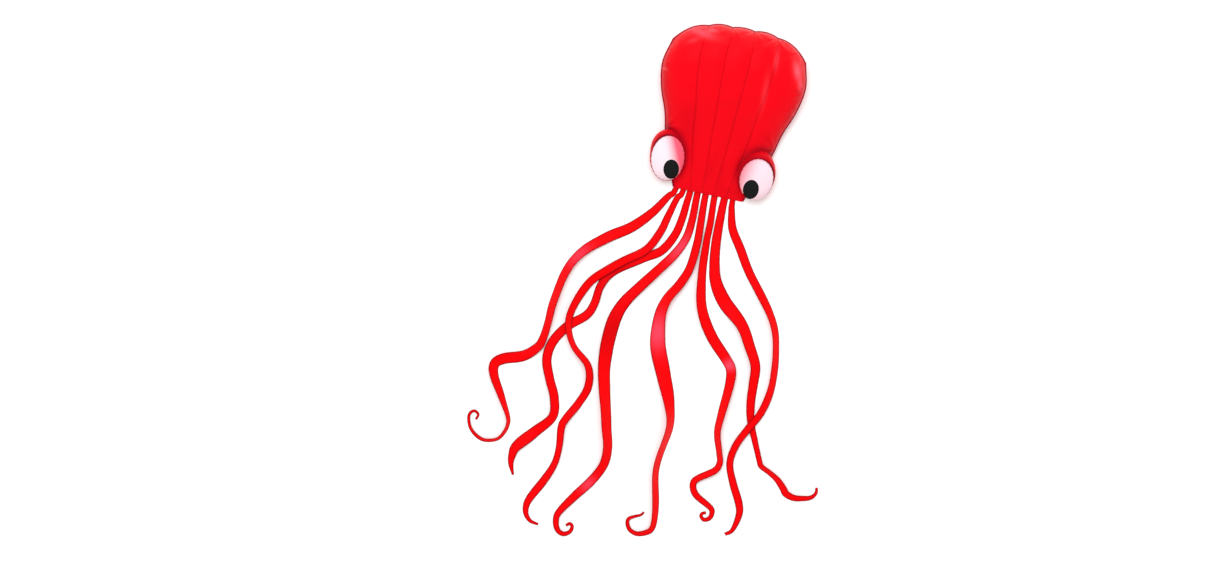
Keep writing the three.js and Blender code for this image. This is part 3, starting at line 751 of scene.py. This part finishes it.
# No pattern of this kite is known, so each piece's flat cut is worked out from its own surface:
# cloth hardly stretches, so the cut has the area of the surface, and the longest run along each of
# the surface's two directions. A round piece is measured from rim to rim over its middle, where that
# is shortest and where it is longest.
def flat_cut(grid, keep=None, closed=False):
    runs = np.linalg.norm(np.diff(grid, axis=1), axis=-1).sum(1)
    if closed:
        over = runs + np.roll(runs, len(runs) // 2)
        size = over.min(), over.max()
        grid = np.concatenate([grid, grid[:1]])
    else:
        size = runs.max(), np.linalg.norm(np.diff(grid, axis=0), axis=-1).sum(0).max()
    one, two = grid[1:, 1:] - grid[:-1, :-1], grid[1:, :-1] - grid[:-1, 1:]
    faces = np.linalg.norm(np.cross(one, two), axis=-1) / 2
    if keep is not None:
        faces = faces * (keep[1:, 1:] & keep[:-1, :-1])
    return tuple(round(float(length), 3) for length in size), round(float(faces.sum()), 4)


def panel(name, height, q_edges, t, facing_up):
    q = spread(*q_edges, CELL_COLUMNS)
    q, t = np.broadcast_arrays(q[None, :], t[:, None])
    x, y = plan(q, t)
    grid = np.stack([x, y, height(q, t, x, y)], -1)
    # pale is the painted highlight on the back, and deep the painted shade.
    pale = oval_spots(x, y, PAINTED_HIGHLIGHT_SPOTS) if facing_up else None
    keep = inside_eye(grid) > PANEL_INTO_EYE
    uv, edge, deep = flat_places(grid), seam_distance(grid), painted_shade_of(grid, q, t)
    normal = grid_normal(grid) * (-1 if facing_up else 1)
    if facing_up:
        grid, uv, edge, deep, pale, keep, normal = (
            part[:, ::-1] for part in (grid, uv, edge, deep, pale, keep, normal))
    piece = sew(name.replace("panel", "cloth"), grid, CLOTH, head_cloth, uv, edge, pale, deep,
                keep=keep, normal=normal)
    fixed(piece, "head_cloth", name, cut=flat_cut(grid, keep))
    return piece.name, len(piece.data.polygons)


to_nose = np.sin(math.pi / 2 * np.linspace(0, 1, BACK_ROWS))
to_mouth = np.linspace(0, INTAKE_START, MOUTH_ROWS)
panels = []
for cell, edges in zip(CELLS, zip(CELL_EDGES[:-1], CELL_EDGES[1:])):
    belly_rows = to_nose if cell.endswith("outer") else to_mouth
    panels.append(panel(f"back_panel_{cell}", back_height, edges, to_nose, True))
    panels.append(panel(f"belly_panel_{cell}", belly_height, edges, belly_rows, False))
print("panels:", panels)

# %% [markdown]
# ## Intake net, tapes and seams
#
# The mouth under the nose is covered with a net, so that air gets in and sand doesn't. A folded tape
# binds its rear edge. Another tape closes the trailing edge, where the tentacles are sewn in, and a
# narrow dark band runs round the outline, over the seam of back and belly: the seam is real, and the
# band's dark colour is painted shade along it. It is a bar of oval section carried along the outline,
# and it stops where the outline goes into an eye.

# %% Intake net, tapes and seams
NET_ROWS = 24
TAPE_WIDTH = 0.007
TAPE_GAP = 0.0012 / HEAD_LENGTH
BINDING_SPAN = (INTAKE_START + TAPE_GAP, INTAKE_START + TAPE_GAP + TAPE_WIDTH / HEAD_LENGTH)
BINDING_INTO_EYE = 0.97
OVAL_CORNERS = 12
TAPE_STEPS = 160
SIDE_STEPS = 259
NOSE_STEPS = 320


def oval(half_width, half_height, off=0.0):
    """The corners of an oval section, its middle moved outwards by off."""
    turn = np.linspace(0, TURN, OVAL_CORNERS + 1)[:-1]
    return np.stack([half_width * np.cos(turn) + off, half_height * np.sin(turn)], -1)


def belly_grid(low, high, t, columns, lower=0.0):
    q, t = np.broadcast_arrays(np.linspace(low, high, columns)[None, :], t[:, None])
    x, y = plan(q, t)
    return np.stack([x, y, belly_height(q, t, x, y) - lower], -1)


net_share = np.sin(math.pi / 2 * np.linspace(0, 1, NET_ROWS))
for i, cell in enumerate(CELLS[1:4]):
    grid = belly_grid(RIB_AT[i], RIB_AT[i + 1], mix(INTAKE_START, 1.0, net_share), CELL_COLUMNS)
    screen = sew(f"intake_net_{cell}", grid, CLOTH, net_cloth)
    fixed(screen, "intake_mesh", f"intake_mesh_{cell}", cut=flat_cut(grid))

grid = belly_grid(RIB_AT[0], RIB_AT[3], np.linspace(*BINDING_SPAN, 5), 3 * CELL_COLUMNS, lower=0.0004)
grid[..., 2] = np.maximum(grid[..., 2], 0.0002)
mouth_tape = sew("mouth_tape", grid, 0.0008, tape_cloth, flat_places(grid), seam_distance(grid) + HEM)
fixed(mouth_tape, "binding_tape", "intake_binding")

tape_half = HALF_WIDTHS[0]
tape_x = np.linspace(-tape_half, tape_half, TAPE_STEPS)
tape_path = np.stack([tape_x, np.full_like(tape_x, TRAILING_Y), 0.0038 + 0.0002 * np.sin(tape_x * 190)], -1)
tape_out = np.broadcast_to([0.0, -1.0, 0.0], tape_path.shape)
tail_tape = sweep("tail_tape", tape_path[::-1], tape_out, oval(0.0042, 0.0034), head_cloth)
fixed(tail_tape, "binding_tape", "trailing_edge_tape")

up_side = np.linspace(0, 1, SIDE_STEPS + 1)[:-1]
over_nose = np.linspace(-1, 1, NOSE_STEPS)
outline_q = np.concatenate([-np.ones(SIDE_STEPS), over_nose, np.ones(SIDE_STEPS)])
outline_t = np.concatenate([up_side, np.ones(NOSE_STEPS), up_side[::-1]])
outline = np.stack([*plan(outline_q, outline_t), seam_height(outline_t)], -1)
way = unit(np.gradient(outline, axis=0) * np.array([1.0, 1.0, 0.0]))
outward = np.stack([-way[:, 1], way[:, 0], np.zeros(len(way))], -1)
shown = inside_eye(outline) > BINDING_INTO_EYE
breaks = np.flatnonzero(np.diff(shown.astype(int))) + 1
runs = [run for run in np.split(np.arange(len(outline)), breaks) if shown[run[0]] and len(run) > 3]
for number, run in enumerate(runs, 1):
    # The band's dark colour is painted shade along the seam of back and belly.
    section = oval(0.0050, 0.0016, off=0.0012)
    binding = sweep(f"outline_seam_shade_{number}", outline[run], outward[run], section, tape_cloth)
    fixed(binding, "binding_tape")
print("outline bindings:", len(runs))

# %% [markdown]
# ## Ribs and bridle tabs
#
# A rib is a flat cloth that stands between back and belly, with three round holes that let the air
# from cell to cell. The grid runs along the head and up from the belly to the back, and the places
# inside a hole are left out. The webbing loops for the bridle are right as they were cut, so they
# only get their material.

# %% Ribs and bridle tabs
RIB_CLEAR = 0.0015
# Each hole's place along the head, and its radius.
RIB_HOLES = [(0.4, 0.014), (0.58, 0.022), (0.76, 0.026)]
RIB_ROWS = 240
RIB_COLUMNS = 60

for number, q in enumerate(RIB_AT, 1):
    t, rise = np.linspace(RIB_START, INTAKE_START, RIB_ROWS), np.linspace(0, 1, RIB_COLUMNS)
    t, rise = np.broadcast_arrays(t[:, None], rise[None, :])
    across = np.full_like(t, q)
    x, y = plan(across, t)
    low, high = belly_height(across, t, x, y), back_height(across, t, x, y)
    grid = np.stack([x, y, mix(low + RIB_CLEAR, high - RIB_CLEAR, rise)], -1)
    keep = np.ones(t.shape, bool)
    for at, radius in RIB_HOLES:
        row = int(np.abs(t[:, 0] - at).argmin())
        middle = (low[row, 0] + high[row, 0]) / 2
        keep &= np.hypot(grid[..., 1] - y[row, 0], grid[..., 2] - middle) > radius
    rib = sew(f"rib_cloth_{number}", grid, CLOTH, head_cloth, keep=keep)
    fixed(rib, "head_cloth", f"rib_{number}", cut=flat_cut(grid, keep))

for name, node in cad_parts.items():
    if name.startswith("bridle_tab"):
        node.material_slots[0].material = webbing_cloth
print("ribs and tabs have their cloth")

# %% [markdown]
# ## Eyes
#
# Each eye is two bowls of cloth: a red lid, and a white that is sewn to it with a thin dark binding.
# The red of the head shines onto the side of the white that is next to it, and this reflection is
# painted into the white's colour. The pupil is a black patch: an ellipse seen from above, laid on the ball.

# %% Eyes
AROUND = 120
BOWL_COLUMNS = 44
BOWL_CLOTH = 0.0006
RIM_TAPE = 0.0012
PUPIL_CLOTH = 0.0010
RIM_HALF_GAP = 0.006
RIM_HALF_TAPE = 0.016
RIM_STEPS = 160
PUPIL_STEPS = 96
# Metres of cloth for a turn of one radian, or for a whole level, on the lid and on the white.
EYE_ROUND = 0.09
WHITE_ROUND = 0.08
WHITE_OUT = 0.10
PUPIL_ACROSS = 0.042
PUPIL_ALONG = 0.051
PUPIL_CLEAR = 0.0008
LID_BULGE = 0.007


def bowl_grid(eye, pole, rim):
    """Rows go round and columns from the pole to the rim; a few slow waves make the bowl bulge."""
    level = np.cos(mix(math.acos(pole), math.acos(rim), np.linspace(0, 1, BOWL_COLUMNS)))
    turn = np.linspace(0, TURN, AROUND + 1)[:-1]
    turn, level = np.broadcast_arrays(turn[:, None], level[None, :])
    near_rim = np.exp(-(((level - rim) / 0.10) ** 2))
    gather = 0.0009 * near_rim * np.cos(26 * turn) * smooth((1 - np.abs(level)) * 8)
    slow = 0.0012 * np.cos(3 * turn + 1.0) * np.sqrt(np.maximum(0, 1 - level**2)) * (1 - near_rim)
    ball = eye_ball(eye, level, turn)
    bulge = LID_BULGE * smooth((ball @ unit(np.array(eye["bulge"])) - 0.45) / 0.55) * (pole < 0)
    grid = on_eye(eye, ball, gather + slow + bulge)
    return grid, ball, turn, level


def outward_from(eye, grid):
    return unit((grid - np.array(eye["centre"])) / EYE_RADII**2)


def sew_round(name, eye, grid, thickness, material, uv, edge=None, pale=None, deep=None, turned=True):
    """A piece that goes round an eye. It is turned over where its grid faces inwards."""
    parts = (grid, outward_from(eye, grid), uv, edge, pale, deep)
    if turned:
        parts = (part if part is None else part[::-1] for part in parts)
    grid, normal, *shares = parts
    return sew(name, grid, thickness, material, *shares, round_first=True, normal=normal)


def red_reflection_of(side, ball):
    """Painted red reflection of the head on the white: strongest at the inner upper edge."""
    inner = -side * ball[..., 0]
    upper = ball[..., 1]
    even, strong = (0.06, 1.45) if side < 0 else (0.15, 0.62)
    by_head = strong * smooth((inner + 0.25 + 0.35 * upper) / 1.35) ** 1.3
    return np.clip(even + by_head + 0.14 * smooth(-upper - 0.45), 0, 1)


for name, eye in EYES.items():
    side = eye["side"]
    grid, ball, turn, level = bowl_grid(eye, -1, EYE_RIM - RIM_HALF_GAP)
    uv = np.stack([turn * EYE_ROUND, (1 + level) * EYE_ROUND], -1)
    edge = (EYE_RIM - RIM_HALF_GAP - level) * EYE_ROUND
    # The lid is made a little darker all over; painted shade darkens it more next to its rim and on its side
    # towards the head, where it meets the head.
    by_rim, by_head = np.exp(-((edge / 0.016) ** 2)), smooth(-ball[..., 0] * side + 0.3)
    deep = np.clip(0.30 + 0.40 * by_rim + 0.3 * by_head, 0, 1)
    lid = sew_round(f"eye_lid_{name}", eye, grid, BOWL_CLOTH, head_cloth, uv, edge, deep=deep)
    fixed(lid, "head_cloth", f"eye_pod_{name}", cut=flat_cut(grid, closed=True))

    grid, ball, turn, level = bowl_grid(eye, 1, EYE_RIM + RIM_HALF_GAP)
    uv = np.stack([turn * WHITE_ROUND, (1 - level) * WHITE_OUT], -1)
    edge = (level - EYE_RIM - RIM_HALF_GAP) * EYE_ROUND
    # Painted shade darkens the white next to its rim, where it meets the binding.
    deep = 0.5 * np.exp(-((edge / 0.006) ** 2))
    white = sew_round(f"white_of_eye_{name}", eye, grid, BOWL_CLOTH, white_cloth, uv, edge,
                      red_reflection_of(side, ball), deep, turned=False)
    fixed(white, "eye_white", f"eye_white_{name}", cut=flat_cut(grid, closed=True))

    rim_turn = np.linspace(0, TURN, RIM_STEPS + 1)[:, None]
    rim_level = EYE_RIM + RIM_HALF_TAPE * np.array([[-1, -0.5, 0, 0.5, 1]])
    rim_turn, rim_level = np.broadcast_arrays(rim_turn, rim_level)
    proud = 0.0016 * (1 - ((rim_level - EYE_RIM) / RIM_HALF_TAPE) ** 2) + 0.0004
    grid = on_eye(eye, eye_ball(eye, rim_level, rim_turn), proud)[:-1]
    uv = np.stack([(rim_level - EYE_RIM) * EYE_ROUND, rim_turn * WHITE_OUT], -1)[:-1]
    binding = sew_round(f"rim_tape_{name}", eye, grid, RIM_TAPE, tape_cloth, uv)
    fixed(binding, "binding_tape", f"eye_binding_{name}")

    turn = np.linspace(0, TURN, PUPIL_STEPS + 1)[:-1]
    share, turn = np.broadcast_arrays(np.linspace(0, 1, 22)[None, :], turn[:, None])
    x = eye["pupil"][0] + share * PUPIL_ACROSS * np.cos(turn) / EYE_RADII[0]
    y = eye["pupil"][1] + share * PUPIL_ALONG * np.sin(turn) / EYE_RADII[1]
    ball = np.stack([x, y, np.sqrt(np.maximum(0.02, 1 - x * x - y * y))], -1)
    grid = on_eye(eye, ball, PUPIL_CLEAR + 0.0012 * np.sqrt(1 - share**4))
    uv = np.stack([share * PUPIL_ACROSS * np.cos(turn), share * PUPIL_ALONG * np.sin(turn)], -1)
    edge = (1 - share) * PUPIL_ACROSS
    patch = sew_round(f"pupil_patch_{name}", eye, grid, PUPIL_CLOTH, pupil_cloth, uv, edge)
    fixed(patch, "pupil_cloth", f"pupil_{name}", cut=flat_cut(grid, closed=True))
print("eyes: lids, whites, bindings and pupils")

# %% [markdown]
# ## Tentacles
#
# A tentacle is a ribbon of cloth with its two edges hemmed. It is sewn into the trailing edge, runs
# over the floor, leans up on one edge where it bends, and lies flat again. Its route is a smooth line
# through the same points as the plain part uses, in millimetres. Between two points
# the line is the same cubic as in `along`, and places on it go by length.
#
# Across, the cloth arches a little, because hems are shorter than the middle: rise = arch * (1 - a^2)
# for a from -1 to 1. The hems waver by a few slow waves. Two of the tentacles climb over a neighbour.

# %% Tentacles
ROOT_Y = TRAILING_Y - TAPE_WIDTH / 2
ROOT_STRAIGHT = 0.032
RAMP = 0.06
RIBBON_CLOTH = 0.0006
RIBBON_ROWS = 520
RIBBON_COLUMNS = 13
ARCH = 0.0035
WAVER = 0.0016
WAVER_LENGTH = 0.19
BEND = 0.3

# Each tentacle's route over the floor (millimetres), how wide it is seen from above and how far it
# leans (degrees) at even stations, the stretch that lies over a neighbour, and where a painted
# highlight or painted shade falls on it: (share, spread, strength).
TENTACLES = [
    dict(root=-176, widths=[30, 51, 60, 49, 44, 43, 61, 44, 21, 20, 13],
         lean=[0, 0, 5, 30, 40, 30, -10, -25, -45, -30, 0], pale=[(0.29, 0.03, 0.45)],
         route=[(-210, -500), (-276, -603), (-371, -704), (-486, -785), (-597, -884), (-664, -1000),
             (-699, -1180), (-705, -1300), (-715, -1400), (-735, -1450), (-800, -1510), (-900, -1546),
             (-943, -1586), (-931, -1650), (-870, -1750), (-813, -1850), (-805, -1900), (-820, -1950),
             (-850, -1985), (-910, -2001), (-960, -1986), (-1000, -1951), (-1020, -1900), (-1015, -1870),
             (-995, -1858), (-973, -1873), (-980, -1902)]),
    dict(root=-135, widths=[30, 42, 45, 46, 41, 32, 43, 43, 36, 45, 13],
         lean=[0, 0, 0, -10, -30, -40, -25, 20, 15, 0, 0], over=(0.15, 0.56, 0.013),
         route=[(-160, -500), (-186, -600), (-212, -700), (-266, -806), (-372, -891), (-448, -957),
             (-534, -1051), (-591, -1200), (-593, -1300), (-542, -1402), (-444, -1490), (-420, -1600),
             (-452, -1700), (-504, -1800), (-516, -1850), (-506, -1950), (-512, -2050), (-550, -2150),
             (-600, -2250), (-615, -2300), (-607, -2347), (-576, -2380), (-530, -2390)]),
    dict(root=-98, widths=[35, 44, 49, 50, 44, 51, 52, 49, 50, 61, 12],
         lean=[0, 0, 0, 0, 15, 0, 0, -20, -15, 10, 0], deep=[(0.33, 0.08, 0.35)],
         route=[(-102, -500), (-110, -600), (-131, -700), (-186, -797), (-281, -860), (-415, -958),
             (-467, -1050), (-480, -1150), (-510, -1222), (-600, -1305), (-658, -1400), (-671, -1500),
             (-634, -1600), (-587, -1700), (-575, -1800), (-648, -1896), (-732, -1996), (-747, -2050),
             (-743, -2100), (-720, -2155)]),
    dict(root=-57, widths=[37, 44, 51, 59, 76, 68, 57, 50, 50, 35, 15],
         lean=[0, 5, 25, 12, -15, -20, -35, -35, 0, 10, 0], pale=[(0.14, 0.035, 0.55), (0.79, 0.02, 0.5)],
         deep=[(0.4, 0.07, 0.35)],
         route=[(-56, -500), (-55, -600), (-66, -700), (-111, -802), (-180, -902), (-250, -1001),
             (-316, -1100), (-354, -1200), (-365, -1320), (-364, -1400), (-353, -1500), (-329, -1600),
             (-301, -1700), (-275, -1800), (-248, -1900), (-250, -2000), (-298, -2100), (-369, -2200),
             (-433, -2300), (-440, -2350), (-421, -2396), (-386, -2412), (-353, -2393), (-347, -2363),
             (-363, -2350), (-381, -2365)]),
    dict(root=-12, widths=[36, 42, 47, 56, 85, 75, 43, 36, 37, 28, 12],
         lean=[0, 10, 25, 35, 0, -10, -50, -50, -40, -25, 0], pale=[(0.37, 0.04, 0.75)],
         route=[(-11, -500), (-5, -620), (-2, -720), (-12, -850), (-47, -950), (-101, -1050), (-117, -1150),
             (-96, -1300), (-33, -1450), (31, -1600), (59, -1725), (37, -1900), (39, -2000), (72, -2150),
             (83, -2240), (76, -2290), (45, -2315), (3, -2328), (-37, -2314), (-56, -2283), (-54, -2257),
             (-24, -2238), (5, -2224), (19, -2205)]),
    dict(root=38, widths=[35, 39, 46, 56, 60, 53, 42, 33, 36, 34, 15],
         lean=[0, -15, -30, -25, -5, 25, 40, 45, 25, 0, 0], pale=[(0.475, 0.014, 0.8)],
         route=[(40, -500), (45, -600), (46, -700), (56, -850), (80, -1000), (118, -1101), (187, -1201),
             (285, -1301), (321, -1351), (330, -1430), (320, -1600), (319, -1700), (351, -1800),
             (366, -1855), (348, -1904), (271, -1962), (249, -1991), (257, -2030), (288, -2063),
             (368, -2107), (382, -2136), (374, -2164), (348, -2178), (328, -2164), (330, -2147),
             (350, -2138)]),
    dict(root=93, widths=[40, 50, 58, 76, 62, 55, 48, 35, 29, 38, 14],
         lean=[0, 0, 5, 0, -25, -25, -10, 0, 30, 20, 0],
         route=[(92, -500), (94, -600), (99, -700), (113, -800), (142, -900), (212, -998), (325, -1097),
             (390, -1198), (445, -1300), (456, -1400), (463, -1500), (484, -1600), (528, -1700),
             (574, -1800), (592, -1829), (640, -1852), (690, -1881), (730, -1919), (755, -1947),
             (800, -1960), (845, -1954), (878, -1945), (900, -1931), (913, -1907), (910, -1880)]),
    dict(root=138, widths=[30, 48, 48, 45, 38, 39, 42, 40, 38, 42, 18],
         lean=[0, 0, 0, -25, -40, -35, -20, 0, 10, 0, 0], over=(0.58, 0.72, 0.012),
         route=[(144, -500), (171, -600), (237, -700), (300, -800), (380, -900), (459, -1000), (513, -1100),
             (542, -1220), (556, -1350), (550, -1450), (526, -1550), (475, -1650), (431, -1750),
             (421, -1850), (460, -1950), (513, -2050), (528, -2110), (510, -2200), (475, -2232)]),
]


def smooth_route(points, per_span=60):
    """A dense smooth line through the points, and the distance travelled along it."""
    share = np.linspace(0, 1, per_span * (len(points) - 1) + 1)
    line = np.stack([along(points[:, 0], share), along(points[:, 1], share)], -1)
    return line, lengths(line, 0)


def spots(share, places):
    total = np.zeros_like(share)
    for at, wide, strength in places:
        total += strength * np.exp(-(((share - at) / wide) ** 2))
    return total


def tentacle(number, root, route, widths, lean, over=None, pale=(), deep=()):
    root_x = root / 1000
    first = np.array([[root_x, ROOT_Y], [mix(root_x, route[0][0] / 1000, BEND), ROOT_Y - ROOT_STRAIGHT]])
    line, travelled = smooth_route(np.concatenate([first, np.array(route) / 1000]))
    length = travelled[-1]
    share = np.linspace(0, 1, RIBBON_ROWS)
    centre = np.stack([np.interp(share * length, travelled, line[:, k]) for k in (0, 1)], -1)
    ahead = unit(np.gradient(centre, axis=0))
    ahead[0] = (0.0, -1.0)
    sideways = np.stack([-ahead[:, 1], ahead[:, 0]], -1)
    angle = np.radians(along(lean, share))
    wide = along(widths, share) / 1000 / np.cos(angle)
    climb = np.zeros_like(share)
    if over:
        start, end, lift = over
        climb = lift * smooth((share - start) / RAMP + 1) * smooth((end - share) / RAMP + 1)

    a = np.linspace(-1, 1, RIBBON_COLUMNS)[None, :]
    s = share[:, None]
    away = smooth(s / 0.05) * smooth((1 - s) / 0.05)
    cosine, sine = np.cos(angle)[:, None], np.sin(angle)[:, None]
    level = 1 - np.abs(sine)
    arch = ARCH * (1 - a**2) * (wide / 0.07)[:, None] * away * level
    wave = np.sin(TURN * (s * length / WAVER_LENGTH + 0.37 * number) + 2.2 * np.sign(a))
    waver = WAVER * a**2 * (1 + wave) * away * level
    half = wide[:, None] / 2
    out = a * half
    across = out * cosine - (arch + waver) * sine
    rest = half * np.abs(sine) + 0.0010 * np.abs(cosine) + 0.0003
    up = rest + climb[:, None] + out * sine + (arch + waver) * cosine
    x = centre[:, :1] + sideways[:, :1] * across
    y = centre[:, 1:] + sideways[:, 1:] * across
    grid = np.stack([x, y, up], -1)
    uv = np.stack(np.broadcast_arrays(out, s * length), -1)
    edge = (1 - np.abs(a)) * half
    # paler is a painted highlight where the ribbon turns to the light; deeper is painted shade where it lies
    # in shade and where its root goes in under the trailing-edge tape.
    paler = np.clip(spots(share, pale), 0, 1)[:, None] * (1 - 0.4 * a**2) * smooth(edge / 0.010)
    deeper = np.clip(spots(share, deep), 0, 1)[:, None] * np.ones_like(edge) + 0.25 * (1 - smooth(s / 0.012))
    parts = (grid, uv, edge, paler, deeper)
    if grid_normal(grid)[..., 2].mean() < 0:
        parts = tuple(part[:, ::-1] for part in parts)
    grid, *shares = parts
    ribbon = sew(f"tentacle_ribbon_{number}", grid, RIBBON_CLOTH, ribbon_cloth, *shares)
    return ribbon, root_x, (round(float(wide.max()), 3), round(float(length), 3)), float(wide.mean() * length)


ribbon_sizes = []
for number, facts in enumerate(TENTACLES, 1):
    ribbon, root_x, flat, area = tentacle(number, **facts)
    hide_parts(f"tentacle_{number}")
    if number in (2, 8):
        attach(ribbon, f"tentacle_{number}")
    else:
        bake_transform(ribbon)
    ribbon_sizes.append((number, flat, round(area, 4)))
print("tentacles (number, (widest, length), area):", ribbon_sizes)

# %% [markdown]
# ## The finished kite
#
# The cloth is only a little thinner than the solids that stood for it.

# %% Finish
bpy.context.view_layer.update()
